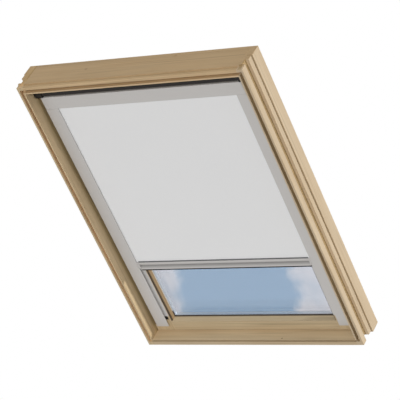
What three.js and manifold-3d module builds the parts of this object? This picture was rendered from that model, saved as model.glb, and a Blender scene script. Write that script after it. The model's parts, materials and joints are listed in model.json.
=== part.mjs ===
// Centre-pivot roof window of pine with a blackout blind on its sash.
// Millimetres, +Z up the slope of the roof, the room in front at -Y, the weather behind at +Y.
// Inside this file x runs across, y is the depth behind the rim's face, and z is measured from mid-height.
import * as THREE from "three";
import Module from "manifold-3d";
import { mergeVertices } from "three/addons/utils/BufferGeometryUtils.js";

// Outer frame
const frameWidth = 740;
const frameHeight = 980;
const memberThickness = 25;
const rimDepth = 20.5;
const rimInset = 4.8;
const rimRadius = 1.8;
const headRimDepth = 13.5;
const headRimInset = 3.2;
const recessWidth = 20.5;
const recessInset = 13;
const stepWidth = 16.6;
const sideStepInset = 3;
const sillStepInset = 7.7;
const kerfWidth = 3.4;
const kerfInset = 9;
const backWidth = 40;
const liningLip = 4;
const liningWidth = 9.5;
const sillLiningLip = 1.5;
const sillLiningWidth = 4.5;
const liningDepth = 13.5;
const dowelRadius = 5;
const dowelLength = 38;
const dowelInSide = 17;

// Sash
const sashClearance = 1.5;
const sashSetBack = 44;
const sashDepth = 48;
const stileWidth = 64;
const edgeRebateDepth = 6;
const bottomRailHeight = 33.5;
const topRailHeight = 37;
const rebateWidth = 16;
const rebateLip = 22.5;

// Glazing, from the room side outwards
const innerGasketThickness = 3.5;
const gasketSight = 3.2;
const gasketSideSight = 0.8;
const paneThickness = 4;
const paneClearance = 3;
const spacerThickness = 12;
const spacerWidth = 8;
const spacerInset = 4;
const outerGasketThickness = 2;
const outerGasketSetBack = 6;
const beadThickness = 5;
const beadSetBack = 9.5;
const beadEdgeInset = 0.5;
const beadBevel = 3;

// Pivots at mid-height
const pivotRadius = 6;
const pivotClearance = 0.08;
const plateThickness = 6;
const plateWidth = 32;
const plateHeight = 96;
const leafThickness = 4;
const leafHeight = 120;
const pinReach = 5.4;
const pinRoot = 14;

// Catch at the head
const catchRadius = 5;
const catchLength = 10;
const catchTip = 1.1;
const strikerThickness = 3;
const strikerWidth = 18;
const strikerLength = 44;
const strikerHoleRadius = 4;

// Operating bar across the top of the sash
const ventBarRadius = 7;
const ventBarBackGap = 1;
const ventBarTopGap = 0.5;
const ventBarDrop = 22;
const ventBarThickness = 6;
const ventBlockLength = 24;
const ventBlockInset = 1.5;
const ventBlockProud = 2;
const ventBlockDrop = 4;
const ventBarEndGap = 0.5;
const ventJournalRadius = 3;
const ventJournalLength = 10;

// Blind cassette and roller
const blindSetBack = 34;
const blindSideGap = 14;
const cassetteHeight = 40.5;
const cassetteDepth = 28.5;
const cassetteTopGap = 0.5;
const cassetteWall = 1.5;
const cassetteFrontReturn = 2.6;
const cassetteSlot = 3.4;
const cassetteEndLength = 12.2;
const housingClearance = 1;
const tubeRadius = 8;
const tubeWall = 1.2;
const rollThickness = 1.7;
const tubeEndGap = 12.5;
const rollEndGap = 2.5;
const plugBodyRadius = 6.5;
const plugBodyLength = 16;
const plugFlangeRadius = 8.5;
const plugFlangeLength = 1.7;
const plugJournalRadius = 4;
const plugJournalReach = 7.7;
const journalClearance = 0.08;
const coreRadius = 2.4;
const coreLength = 170;
const springInnerRadius = 3;
const springOuterRadius = 5.4;
const springLength = 125;
const springStandOff = 4;

// Blind side rails
const flangeWidth = 41;
const channelWidth = 44.5;
const railWidth = 50.5;
const railDepth = 10;
const railWall = 1.6;
const railLipRise = 1;
const flangeEndHeight = 50;
const channelEndHeight = 83;
const endPlugHeight = 12;
const endPlugGap = 0.6;
const endPlugWidth = 11;
const endPlugInset = 5;
const sealThickness = 1.8;
const sealDepth = 4.5;
const sealEndGap = 2;

// Blind fabric and its bottom bar, at the height where the photograph shows it
const barTopHeight = 303;
const barHeight = 26;
const barThickness = 6.5;
const barLandHeight = 8;
const gripHeight = 13;
const gripDepth = 2.6;
const barEdgeRadius = 2;
const barEndLength = 4.7;
const barEndGap = 0.5;
const runnerLength = 12.5;
const runnerHeight = 9;
const runnerSideGap = 0.8;
const fabricThickness = 0.8;
const fabricSetBack = 3.6;
const fabricSideReach = 14;
const clampHeight = 3;
const clampThickness = 1.1;
const barSealHeight = 5;
const barSealThickness = 4;

// Screws
const screwHeadRadius = 3.4;
const screwHeadHeight = 1.4;
const screwShankRadius = 1.7;
const screwHoleRadius = 2;
const screwLength = 15;
const railScrewAboveFoot = 140;
const railScrewBelowTop = 85.2;
const railScrewInset = 20;
const cassetteScrewInset = 118.5;
const cassetteScrewSetBack = 4;

// Shared small sizes
const seatGap = 0.3;
const cutOverrun = 2;
const roundSides = 24;
const arcSteps = 5;

// Places worked out from the sizes above
const halfWidth = frameWidth / 2;
const halfHeight = frameHeight / 2;
const stepStart = rimDepth + recessWidth;
const kerfStart = stepStart + stepWidth;
const backStart = kerfStart + kerfWidth;
const frameDepth = backStart + backWidth;
const openHalfWidth = halfWidth - memberThickness;
const openHalfHeight = halfHeight - memberThickness;
const sashHalfWidth = openHalfWidth - sashClearance;
const sashHalfHeight = openHalfHeight - sashClearance;
const sashBack = sashSetBack + sashDepth;
const sightHalfWidth = sashHalfWidth - stileWidth;
const sightBottom = bottomRailHeight - sashHalfHeight;
const sightTop = sashHalfHeight - topRailHeight;
const rebateStart = sashSetBack + rebateLip;
const paneHalfWidth = sightHalfWidth + rebateWidth - paneClearance;
const paneBottom = sightBottom - rebateWidth + paneClearance;
const paneTop = sightTop + rebateWidth - paneClearance;
const pivotDepth = sashSetBack + sashDepth / 2;
const blindHalfWidth = openHalfWidth - blindSideGap;
const blindBack = blindSetBack + railDepth;
const cassetteTop = sightTop - cassetteTopGap;
const cassetteBottom = cassetteTop - cassetteHeight;
const cassetteHalfLength = blindHalfWidth - cassetteEndLength - seatGap;
const fabricFront = blindSetBack + fabricSetBack;
const fabricBack = fabricFront + fabricThickness;
const fabricHalfWidth = blindHalfWidth - flangeWidth + fabricSideReach;
const rollRadius = tubeRadius + seatGap + rollThickness;
const rollerDepth = fabricBack + seatGap + rollRadius;
const rollerHeight = (cassetteTop + cassetteBottom) / 2;
const barTop = barTopHeight - halfHeight;
const barBottom = barTop - barHeight;
const barFront = blindSetBack;
const barBack = barFront + barThickness;
const barHalfLength = blindHalfWidth - flangeWidth - barEndGap;
const flangeEnd = flangeEndHeight - halfHeight;
const channelEnd = channelEndHeight - halfHeight;
const railTop = cassetteBottom - seatGap;
const cassetteScrewPlace = cassetteHalfLength - cassetteScrewInset;
const railScrews = { low: flangeEnd + railScrewAboveFoot, high: railTop - railScrewBelowTop };
const dowelDepth = backStart + backWidth / 2;

const wasm = await Module();
wasm.setup();
const skylight = new THREE.Group();
skylight.position.set(0, backWidth / 2 - frameDepth, halfHeight);

const pine = { color: 0xcdb68f, roughness: 0.55, metalness: 0 };
const beech = { color: 0xc49a66, roughness: 0.6, metalness: 0 };
const aluminium = { color: 0xb9b8b7, roughness: 0.35, metalness: 0.9 };
const greyCover = { color: 0x6a6b6c, roughness: 0.4, metalness: 0.6 };
const steel = { color: 0x9a9c9e, roughness: 0.3, metalness: 1 };
const blackPlastic = { color: 0x1c1b1a, roughness: 0.5, metalness: 0 };
const rubber = { color: 0x232221, roughness: 0.8, metalness: 0 };
const clearGlass = { color: 0x9db6d2, roughness: 0.05, metalness: 0, transparent: true, opacity: 0.4 };
const blackout = { color: 0xd4d4d6, roughness: 0.9, metalness: 0 };
const greyPlastic = { color: 0xc4c3c2, roughness: 0.5, metalness: 0 };

// Adds one named piece to the window
function addPiece(name, geometry, finish) {
  const piece = new THREE.Mesh(geometry, new THREE.MeshStandardMaterial(finish));
  piece.name = name;
  skylight.add(piece);
}

// Turns a closed geometry into a solid that can be cut and joined
function solidOf(geometry) {
  const bare = geometry.clone();
  bare.deleteAttribute("normal");
  bare.deleteAttribute("uv");
  const merged = mergeVertices(bare);
  const vertProperties = new Float32Array(merged.attributes.position.array);
  const triVerts = new Uint32Array(merged.index.array);
  return new wasm.Manifold(new wasm.Mesh({ numProp: 3, vertProperties, triVerts }));
}

function geometryOf(solid) {
  const mesh = solid.getMesh();
  const geometry = new THREE.BufferGeometry();
  geometry.setAttribute("position", new THREE.BufferAttribute(mesh.vertProperties, mesh.numProp));
  geometry.setIndex(new THREE.BufferAttribute(mesh.triVerts, 1));
  geometry.computeVertexNormals();
  return geometry;
}

// A box between two corners
function block(low, high) {
  const corner = new THREE.Vector3(...low);
  const size = new THREE.Vector3(...high).sub(corner);
  const geometry = new THREE.BoxGeometry(size.x, size.y, size.z);
  const middle = corner.addScaledVector(size, 1 / 2);
  return geometry.translate(middle.x, middle.y, middle.z);
}

function extruded(outline, length) {
  return new THREE.ExtrudeGeometry(new THREE.Shape(outline), { depth: length, bevelEnabled: false });
}

function outlineOf(points) {
  return points.map(([u, v]) => new THREE.Vector2(u, v));
}

// A prism along z from an outline in x and y
function prismUp(points, low, high) {
  return extruded(outlineOf(points), high - low).translate(0, 0, low);
}

// A prism along x from an outline in y and z
function prismAcross(points, low, high) {
  const upright = extruded(outlineOf(points), high - low);
  return upright.rotateX(Math.PI / 2).rotateZ(Math.PI / 2).translate(low, 0, 0);
}

// A round rod along x, y or z between two places, with the other two coordinates in at
function rod(axis, radius, low, high, at) {
  const geometry = new THREE.CylinderGeometry(radius, radius, high - low, roundSides);
  const middle = (low + high) / 2;
  if (axis === "x") {
    return geometry.rotateZ(Math.PI / 2).translate(middle, at[0], at[1]);
  }
  if (axis === "y") {
    return geometry.translate(at[0], middle, at[1]);
  }
  return geometry.rotateX(Math.PI / 2).translate(at[0], at[1], middle);
}

// A body turned about the x axis, from pairs of place along x and radius
function turned(pairs, at) {
  const points = pairs.map(([place, radius]) => new THREE.Vector2(radius, place));
  const geometry = new THREE.LatheGeometry(points, roundSides);
  const swapped = geometry.rotateZ(-Math.PI / 2);
  return swapped.translate(0, at[0], at[1]);
}

// A flat ring in the plane of the window, from one depth to another
function ring(outer, inner, front, back) {
  const blank = solidOf(block([-outer.halfWidth, front, outer.bottom], [outer.halfWidth, back, outer.top]));
  const low = [-inner.halfWidth, front - cutOverrun, inner.bottom];
  const high = [inner.halfWidth, back + cutOverrun, inner.top];
  return blank.subtract(solidOf(block(low, high)));
}

// Points of a quarter round, from one angle to the next
function arc(centre, radius, startAngle, endAngle) {
  const points = [];
  for (let step = 0; step <= arcSteps; step += 1) {
    const angle = startAngle + ((endAngle - startAngle) * step) / arcSteps;
    points.push([centre[0] + radius * Math.cos(angle), centre[1] + radius * Math.sin(angle)]);
  }
  return points;
}

// Outer profile of a frame member: pairs of distance from the window's middle and depth
function grooved(half, stepInset) {
  const rim = half - rimInset;
  const arris = arc([rim - rimRadius, rimRadius], rimRadius, -Math.PI / 2, 0);
  return [
    ...arris,
    [rim, rimDepth],
    [half - recessInset, rimDepth],
    [half - recessInset, stepStart],
    [half - stepInset, stepStart],
    [half - stepInset, kerfStart],
    [half - kerfInset, kerfStart],
    [half - kerfInset, backStart],
    [half, backStart],
    [half, frameDepth],
  ];
}

// The head has a shallow rim and keeps a plain outer face behind it
function plain(half) {
  const rim = half - headRimInset;
  const arris = arc([rim - rimRadius, rimRadius], rimRadius, -Math.PI / 2, 0);
  return [...arris, [rim, headRimDepth], [half, headRimDepth], [half, frameDepth]];
}

function mirrored(points) {
  return points.map(([place, depth]) => [-place, depth]).reverse();
}

function frameBlank() {
  const sides = grooved(halfWidth, sideStepInset);
  const acrossOutline = [...sides, ...mirrored(sides)];
  const head = plain(halfHeight);
  const sill = grooved(halfHeight, sillStepInset);
  const uprightOutline = [...head, ...mirrored(sill)].map(([place, depth]) => [depth, place]);
  const acrossSolid = solidOf(prismUp(acrossOutline, -halfHeight, halfHeight));
  const uprightSolid = solidOf(prismAcross(uprightOutline.reverse(), -halfWidth, halfWidth));
  return acrossSolid.intersect(uprightSolid);
}

// The groove for the lining boards is narrower along the sill
function liningGroove() {
  const inner = {
    halfWidth: openHalfWidth + liningLip,
    bottom: -openHalfHeight - sillLiningLip,
    top: openHalfHeight + liningLip,
  };
  const outer = {
    halfWidth: inner.halfWidth + liningWidth,
    bottom: inner.bottom - sillLiningWidth,
    top: inner.top + liningWidth,
  };
  return ring(outer, inner, -cutOverrun, liningDepth);
}

function makeFrame() {
  const opening = block(
    [-openHalfWidth, -cutOverrun, -openHalfHeight],
    [openHalfWidth, frameDepth + cutOverrun, openHalfHeight],
  );
  const whole = frameBlank().subtract(solidOf(opening)).subtract(liningGroove());
  const far = halfWidth + cutOverrun;
  const high = halfHeight + cutOverrun;
  const back = frameDepth + cutOverrun;
  const cuts = {
    frame_left: block([-far, -cutOverrun, -high], [-openHalfWidth, back, high]),
    frame_right: block([openHalfWidth, -cutOverrun, -high], [far, back, high]),
    frame_top: block([-openHalfWidth, -cutOverrun, openHalfHeight], [openHalfWidth, back, high]),
    frame_bottom: block([-openHalfWidth, -cutOverrun, -high], [openHalfWidth, back, -openHalfHeight]),
  };
  const members = {};
  for (const [name, cut] of Object.entries(cuts)) {
    members[name] = whole.intersect(solidOf(cut));
  }
  boreForDowels(members);
  houseThePivotPlates(members);
  houseTheStriker(members);
  for (const [name, member] of Object.entries(members)) {
    addPiece(name, geometryOf(member), pine);
  }
}

function boreForDowels(members) {
  let number = 1;
  for (const side of [-1, 1]) {
    for (const end of [-1, 1]) {
      const height = end * (openHalfHeight + memberThickness / 2);
      const outer = openHalfWidth + dowelInSide;
      const inner = outer - dowelLength;
      const places = [side * inner, side * outer].sort((a, b) => a - b);
      const at = [dowelDepth, height];
      const holeEnds = [places[0] - seatGap, places[1] + seatGap];
      const hole = solidOf(rod("x", dowelRadius + seatGap, holeEnds[0], holeEnds[1], at));
      const sideName = side < 0 ? "frame_left" : "frame_right";
      const endName = end < 0 ? "frame_bottom" : "frame_top";
      members[sideName] = members[sideName].subtract(hole);
      members[endName] = members[endName].subtract(hole);
      addPiece(`corner_dowel_${number}`, rod("x", dowelRadius, places[0], places[1], at), beech);
      number += 1;
    }
  }
}

// A steel plate let into each side member, with the hole that the pivot pin turns in
function houseThePivotPlates(members) {
  for (const side of [-1, 1]) {
    const sideName = side < 0 ? "left" : "right";
    const half = [plateWidth / 2, plateHeight / 2];
    const depthOfPocket = plateThickness + seatGap;
    const pocket = sidePad(side, openHalfWidth - cutOverrun, openHalfWidth + depthOfPocket, half, seatGap);
    members[`frame_${sideName}`] = members[`frame_${sideName}`].subtract(solidOf(pocket));
    const plate = solidOf(sidePad(side, openHalfWidth, openHalfWidth + plateThickness, half, 0));
    const holeEnds = [-halfWidth, halfWidth];
    const hole = solidOf(rod("x", pivotRadius + pivotClearance, holeEnds[0], holeEnds[1], [pivotDepth, 0]));
    addPiece(`pivot_plate_${sideName}`, geometryOf(plate.subtract(hole)), steel);
  }
}

// A pad about the pivot axis on one side of the window, grown by a gap in depth and height
function sidePad(side, near, far, half, gap) {
  const places = [side * near, side * far].sort((a, b) => a - b);
  const low = [places[0], pivotDepth - half[0] - gap, -half[1] - gap];
  const high = [places[1], pivotDepth + half[0] + gap, half[1] + gap];
  return block(low, high);
}

function houseTheStriker(members) {
  const half = [strikerLength / 2, strikerWidth / 2];
  const pocket = block(
    [-half[0] - seatGap, pivotDepth - half[1] - seatGap, openHalfHeight - cutOverrun],
    [half[0] + seatGap, pivotDepth + half[1] + seatGap, openHalfHeight + strikerThickness + seatGap],
  );
  members.frame_top = members.frame_top.subtract(solidOf(pocket));
  const plate = block(
    [-half[0], pivotDepth - half[1], openHalfHeight],
    [half[0], pivotDepth + half[1], openHalfHeight + strikerThickness],
  );
  const holeTop = openHalfHeight + memberThickness;
  const holeBottom = openHalfHeight - cutOverrun;
  const hole = rod("z", strikerHoleRadius, holeBottom, holeTop, [0, pivotDepth]);
  addPiece("striker_plate", geometryOf(solidOf(plate).subtract(solidOf(hole))), steel);
}

// Sash members: one rebated ring, housed for the cassette and cut back beside the rails, then parted
function makeSash() {
  const outer = { halfWidth: sashHalfWidth, bottom: -sashHalfHeight, top: sashHalfHeight };
  const sight = { halfWidth: sightHalfWidth, bottom: sightBottom, top: sightTop };
  const rebateLow = [-sightHalfWidth - rebateWidth, rebateStart, sightBottom - rebateWidth];
  const rebateHigh = [sightHalfWidth + rebateWidth, sashBack + cutOverrun, sightTop + rebateWidth];
  const housingLow = [-blindHalfWidth - housingClearance, sashSetBack - cutOverrun];
  const housingHigh = [blindHalfWidth + housingClearance, blindSetBack + cassetteDepth + housingClearance];
  housingLow.push(cassetteBottom - housingClearance);
  housingHigh.push(sightTop);
  let sash = ring(outer, sight, sashSetBack, sashBack);
  sash = sash.subtract(solidOf(block(rebateLow, rebateHigh)));
  sash = sash.subtract(solidOf(block(housingLow, housingHigh)));
  for (const side of [-1, 1]) {
    const rebate = [side * (blindHalfWidth + housingClearance), side * (sashHalfWidth + cutOverrun)];
    rebate.sort((a, b) => a - b);
    const edgeLow = [rebate[0], sashSetBack - cutOverrun, flangeEnd];
    sash = sash.subtract(solidOf(block(edgeLow, [rebate[1], sashSetBack + edgeRebateDepth, sightTop])));
  }
  sash = cutForHardware(sash);
  const back = sashBack + cutOverrun;
  const front = sashSetBack - cutOverrun;
  const far = sashHalfWidth + cutOverrun;
  const high = sashHalfHeight + cutOverrun;
  const cuts = {
    sash_left: block([-far, front, -high], [-sightHalfWidth, back, high]),
    sash_right: block([sightHalfWidth, front, -high], [far, back, high]),
    sash_top: block([-sightHalfWidth, front, sightTop], [sightHalfWidth, back, high]),
    sash_bottom: block([-sightHalfWidth, front, -high], [sightHalfWidth, back, sightBottom]),
  };
  for (const [name, cut] of Object.entries(cuts)) {
    addPiece(name, geometryOf(sash.intersect(solidOf(cut))), pine);
  }
}

function cutForHardware(sash) {
  let cut = sash;
  for (const side of [-1, 1]) {
    const half = [plateWidth / 2, leafHeight / 2];
    const leafFace = sashHalfWidth - leafThickness - seatGap;
    cut = cut.subtract(solidOf(sidePad(side, leafFace, sashHalfWidth + cutOverrun, half, seatGap)));
    const ends = [side * (sashHalfWidth - pinRoot - seatGap), side * (sashHalfWidth + cutOverrun)];
    ends.sort((a, b) => a - b);
    const pinHole = rod("x", pivotRadius + seatGap, ends[0], ends[1], [pivotDepth, 0]);
    cut = cut.subtract(solidOf(pinHole));
    for (const screwHeight of Object.values(railScrews)) {
      const at = [side * (blindHalfWidth - railScrewInset), screwHeight];
      const screwEnd = blindBack - railWall + screwLength + seatGap;
      cut = cut.subtract(solidOf(rod("y", screwHoleRadius, sashSetBack - cutOverrun, screwEnd, at)));
    }
    const screwAt = [side * cassetteScrewPlace, sashSetBack + cassetteScrewSetBack];
    const screwTop = cassetteTop - cassetteWall + screwLength + seatGap;
    cut = cut.subtract(solidOf(rod("z", screwHoleRadius, sightTop - cutOverrun, screwTop, screwAt)));
  }
  const catchBottom = sashHalfHeight - catchLength - seatGap;
  const catchMouth = sashHalfHeight + cutOverrun;
  const catchHole = rod("z", catchRadius + seatGap, catchBottom, catchMouth, [0, pivotDepth]);
  return cut.subtract(solidOf(catchHole));
}

function makeGlazing() {
  const pane = { halfWidth: paneHalfWidth, bottom: paneBottom, top: paneTop };
  const innerSight = {
    halfWidth: sightHalfWidth - gasketSideSight,
    bottom: sightBottom + gasketSight,
    top: sightTop - gasketSight,
  };
  const spacerOuter = {
    halfWidth: paneHalfWidth - spacerInset,
    bottom: paneBottom + spacerInset,
    top: paneTop - spacerInset,
  };
  const spacerInner = {
    halfWidth: spacerOuter.halfWidth - spacerWidth,
    bottom: spacerOuter.bottom + spacerWidth,
    top: spacerOuter.top - spacerWidth,
  };
  const outerSight = {
    halfWidth: sightHalfWidth + outerGasketSetBack,
    bottom: sightBottom - outerGasketSetBack,
    top: sightTop + outerGasketSetBack,
  };
  const paneLow = (front) => [-paneHalfWidth, front, paneBottom];
  const paneHigh = (back) => [paneHalfWidth, back, paneTop];
  const innerFront = rebateStart + innerGasketThickness;
  const spacerFront = innerFront + paneThickness;
  const outerFront = spacerFront + spacerThickness;
  const outerBack = outerFront + paneThickness;
  const gasketBack = outerBack + outerGasketThickness;
  addPiece("inner_gasket", geometryOf(ring(pane, innerSight, rebateStart, innerFront)), rubber);
  addPiece("inner_pane", block(paneLow(innerFront), paneHigh(spacerFront)), clearGlass);
  addPiece("spacer_frame", geometryOf(ring(spacerOuter, spacerInner, spacerFront, outerFront)), aluminium);
  addPiece("outer_pane", block(paneLow(outerFront), paneHigh(outerBack)), clearGlass);
  addPiece("outer_gasket", geometryOf(ring(pane, outerSight, outerBack, gasketBack)), rubber);
  makeBeads(gasketBack);
}

// Outer beads, bevelled towards the glass: the side beads run the full height
function makeBeads(front) {
  const back = front + beadThickness;
  const sideOuter = sashHalfWidth - beadEdgeInset;
  const sideInner = sightHalfWidth + beadSetBack;
  const topOuter = sashHalfHeight - beadEdgeInset;
  const section = (inner, outer) => [
    [inner, front],
    [outer, front],
    [outer, back],
    [inner + Math.sign(outer - inner) * beadBevel, back],
    [inner, front + beadThickness - beadBevel],
  ];
  const rightBead = section(sideInner, sideOuter);
  const leftBead = section(-sideInner, -sideOuter).reverse();
  addPiece("glazing_bead_right", prismUp(rightBead, -topOuter, topOuter), greyCover);
  addPiece("glazing_bead_left", prismUp(leftBead, -topOuter, topOuter), greyCover);
  const between = sideInner - seatGap;
  const turn = (points) => points.map(([place, depth]) => [depth, place]);
  const topBead = turn(section(sightTop + beadSetBack, topOuter)).reverse();
  const bottomBead = turn(section(sightBottom - beadSetBack, -topOuter));
  addPiece("glazing_bead_top", prismAcross(topBead, -between, between), greyCover);
  addPiece("glazing_bead_bottom", prismAcross(bottomBead, -between, between), greyCover);
}

// Hinge leaves in the stiles, with the pins that turn in the frame's plates
function makePivots() {
  for (const side of [-1, 1]) {
    const sideName = side < 0 ? "left" : "right";
    const half = [plateWidth / 2, leafHeight / 2];
    const leaf = solidOf(sidePad(side, sashHalfWidth - leafThickness, sashHalfWidth, half, 0));
    const at = [pivotDepth, 0];
    const hole = solidOf(rod("x", pivotRadius + pivotClearance, -halfWidth, halfWidth, at));
    addPiece(`hinge_leaf_${sideName}`, geometryOf(leaf.subtract(hole)), steel);
    const ends = [side * (sashHalfWidth - pinRoot), side * (openHalfWidth + pinReach)];
    ends.sort((a, b) => a - b);
    addPiece(`pivot_pin_${sideName}`, rod("x", pivotRadius, ends[0], ends[1], at), steel);
  }
}

// A spring catch let into the sash's top edge, with a domed tip
function makeCatch() {
  const bottom = sashHalfHeight - catchLength;
  const body = solidOf(rod("z", catchRadius, bottom, sashHalfHeight, [0, pivotDepth]));
  const domeRadius = (strikerHoleRadius ** 2 + catchTip ** 2) / (2 * catchTip);
  const dome = new THREE.SphereGeometry(domeRadius, roundSides, roundSides);
  dome.rotateX(Math.PI / 2).translate(0, pivotDepth, sashHalfHeight + catchTip - domeRadius);
  const tipTop = sashHalfHeight + catchTip;
  const tipRod = rod("z", strikerHoleRadius, bottom + cutOverrun, tipTop, [0, pivotDepth]);
  const tip = solidOf(dome).intersect(solidOf(tipRod));
  addPiece("top_catch", geometryOf(body.add(tip)), steel);
}

// The black operating bar hangs from two end blocks and turns about its rounded top edge
function makeVentBar() {
  const axisDepth = sashSetBack - ventBarBackGap - ventBarRadius;
  const axisHeight = sashHalfHeight - ventBarTopGap - ventBarRadius;
  const axis = [axisDepth, axisHeight];
  const bottom = axisHeight - ventBarDrop;
  const front = axisDepth - ventBarRadius;
  const head = arc(axis, ventBarRadius, Math.PI, 0);
  const backOfHead = arc(axis, ventBarRadius, 0, -Math.PI / 3);
  const outline = [
    ...head,
    ...backOfHead.slice(1),
    [front + ventBarThickness, bottom],
    [front, bottom],
  ];
  const blockOuter = sashHalfWidth - ventBlockInset;
  const blockInner = blockOuter - ventBlockLength;
  const barHalf = blockInner - ventBarEndGap;
  const leaf = solidOf(prismAcross(outline.reverse(), -barHalf, barHalf));
  const journalEnd = blockInner + ventJournalLength;
  const journals = solidOf(rod("x", ventJournalRadius, -journalEnd, journalEnd, axis));
  addPiece("vent_bar", geometryOf(leaf.add(journals)), blackPlastic);
  for (const side of [-1, 1]) {
    const places = [side * blockInner, side * blockOuter].sort((a, b) => a - b);
    const low = [places[0], front - ventBlockProud, bottom - ventBlockDrop];
    const high = [places[1], sashSetBack, axisHeight + ventBarRadius];
    const holeEnd = journalEnd + seatGap;
    const hole = rod("x", ventJournalRadius + journalClearance, -holeEnd, holeEnd, axis);
    const name = side < 0 ? "vent_block_left" : "vent_block_right";
    addPiece(name, geometryOf(solidOf(block(low, high)).subtract(solidOf(hole))), blackPlastic);
  }
}

// Cassette of the blind: an open channel with a slot under its front for the fabric
function makeCassette() {
  const front = blindSetBack;
  const back = blindSetBack + cassetteDepth;
  const slotFront = front + cassetteFrontReturn;
  const slotBack = slotFront + cassetteSlot;
  const inner = {
    front: front + cassetteWall,
    back: back - cassetteWall,
    bottom: cassetteBottom + cassetteWall,
    top: cassetteTop - cassetteWall,
  };
  const outline = [
    [front, cassetteBottom],
    [slotFront, cassetteBottom],
    [slotFront, inner.bottom],
    [inner.front, inner.bottom],
    [inner.front, inner.top],
    [inner.back, inner.top],
    [inner.back, inner.bottom],
    [slotBack, inner.bottom],
    [slotBack, cassetteBottom],
    [back, cassetteBottom],
    [back, cassetteTop],
    [front, cassetteTop],
  ];
  let shell = solidOf(prismAcross(outline, -cassetteHalfLength, cassetteHalfLength));
  for (const side of [-1, 1]) {
    const sideName = side < 0 ? "left" : "right";
    const at = [side * cassetteScrewPlace, sashSetBack + cassetteScrewSetBack];
    const shankEnd = inner.top + screwLength;
    shell = shell.subtract(solidOf(rod("z", screwHoleRadius, inner.top - cutOverrun, shankEnd, at)));
    const shank = solidOf(rod("z", screwShankRadius, inner.top - screwHeadHeight, shankEnd, at));
    const headTop = inner.top - seatGap;
    const head = solidOf(rod("z", screwHeadRadius, headTop - screwHeadHeight, headTop, at));
    addPiece(`cassette_screw_${sideName}`, geometryOf(shank.add(head)), steel);
  }
  addPiece("cassette_shell", geometryOf(shell), aluminium);
  for (const side of [-1, 1]) {
    const sideName = side < 0 ? "left" : "right";
    const places = [side * (cassetteHalfLength + seatGap), side * blindHalfWidth].sort((a, b) => a - b);
    const cap = solidOf(block([places[0], front, cassetteBottom], [places[1], back, cassetteTop]));
    const reach = cassetteHalfLength + seatGap + plugJournalReach + seatGap;
    const boreRadius = plugJournalRadius + journalClearance;
    const bore = rod("x", boreRadius, -reach, reach, [rollerDepth, rollerHeight]);
    addPiece(`cassette_end_${sideName}`, geometryOf(cap.subtract(solidOf(bore))), greyPlastic);
  }
}

// A hollow tube along x
function sleeve(outerRadius, innerRadius, low, high, at) {
  const outer = solidOf(rod("x", outerRadius, low, high, at));
  const bore = solidOf(rod("x", innerRadius, low - cutOverrun, high + cutOverrun, at));
  return geometryOf(outer.subtract(bore));
}

// Roller: tube, wound fabric, idle plug on the right, drive plug and spring on the left
function makeRoller() {
  const at = [rollerDepth, rollerHeight];
  const tubeHalf = cassetteHalfLength - tubeEndGap;
  const rollHalf = tubeHalf - rollEndGap;
  addPiece("roller_tube", sleeve(tubeRadius, tubeRadius - tubeWall, -tubeHalf, tubeHalf, at), aluminium);
  const rollInner = tubeRadius + seatGap;
  addPiece("fabric_roll", sleeve(rollRadius, rollInner, -rollHalf, rollHalf, at), blackout);
  const bodyStart = tubeHalf - plugBodyLength;
  const flangeStart = tubeHalf + seatGap;
  const flangeStop = flangeStart + plugFlangeLength;
  const journalEnd = cassetteHalfLength + seatGap + plugJournalReach;
  const idle = turned(
    [
      [bodyStart, 0],
      [bodyStart, plugBodyRadius],
      [flangeStart, plugBodyRadius],
      [flangeStart, plugFlangeRadius],
      [flangeStop, plugFlangeRadius],
      [flangeStop, plugJournalRadius],
      [journalEnd, plugJournalRadius],
      [journalEnd, 0],
    ],
    at,
  );
  addPiece("idle_plug", idle, greyPlastic);
  const plugBore = coreRadius + seatGap;
  const drive = turned(
    [
      [-flangeStop, plugBore],
      [-flangeStop, plugFlangeRadius],
      [-flangeStart, plugFlangeRadius],
      [-flangeStart, plugBodyRadius],
      [-bodyStart, plugBodyRadius],
      [-bodyStart, plugBore],
      [-flangeStop, plugBore],
    ],
    at,
  );
  addPiece("drive_plug", drive, greyPlastic);
  addPiece("spring_core", rod("x", coreRadius, -journalEnd, coreLength - journalEnd, at), steel);
  const springStart = springStandOff - bodyStart;
  const springEnd = springStart + springLength;
  addPiece("return_spring", sleeve(springOuterRadius, springInnerRadius, springStart, springEnd, at), steel);
}

// What is cut from the foot of a rail, from the window's middle out to one place and from one depth back
function railFootCut(side, outer, front) {
  const ends = [0, side * outer].sort((a, b) => a - b);
  const low = [ends[0], front, flangeEnd - cutOverrun];
  return solidOf(block(low, [ends[1], blindBack + cutOverrun, channelEnd]));
}

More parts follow.
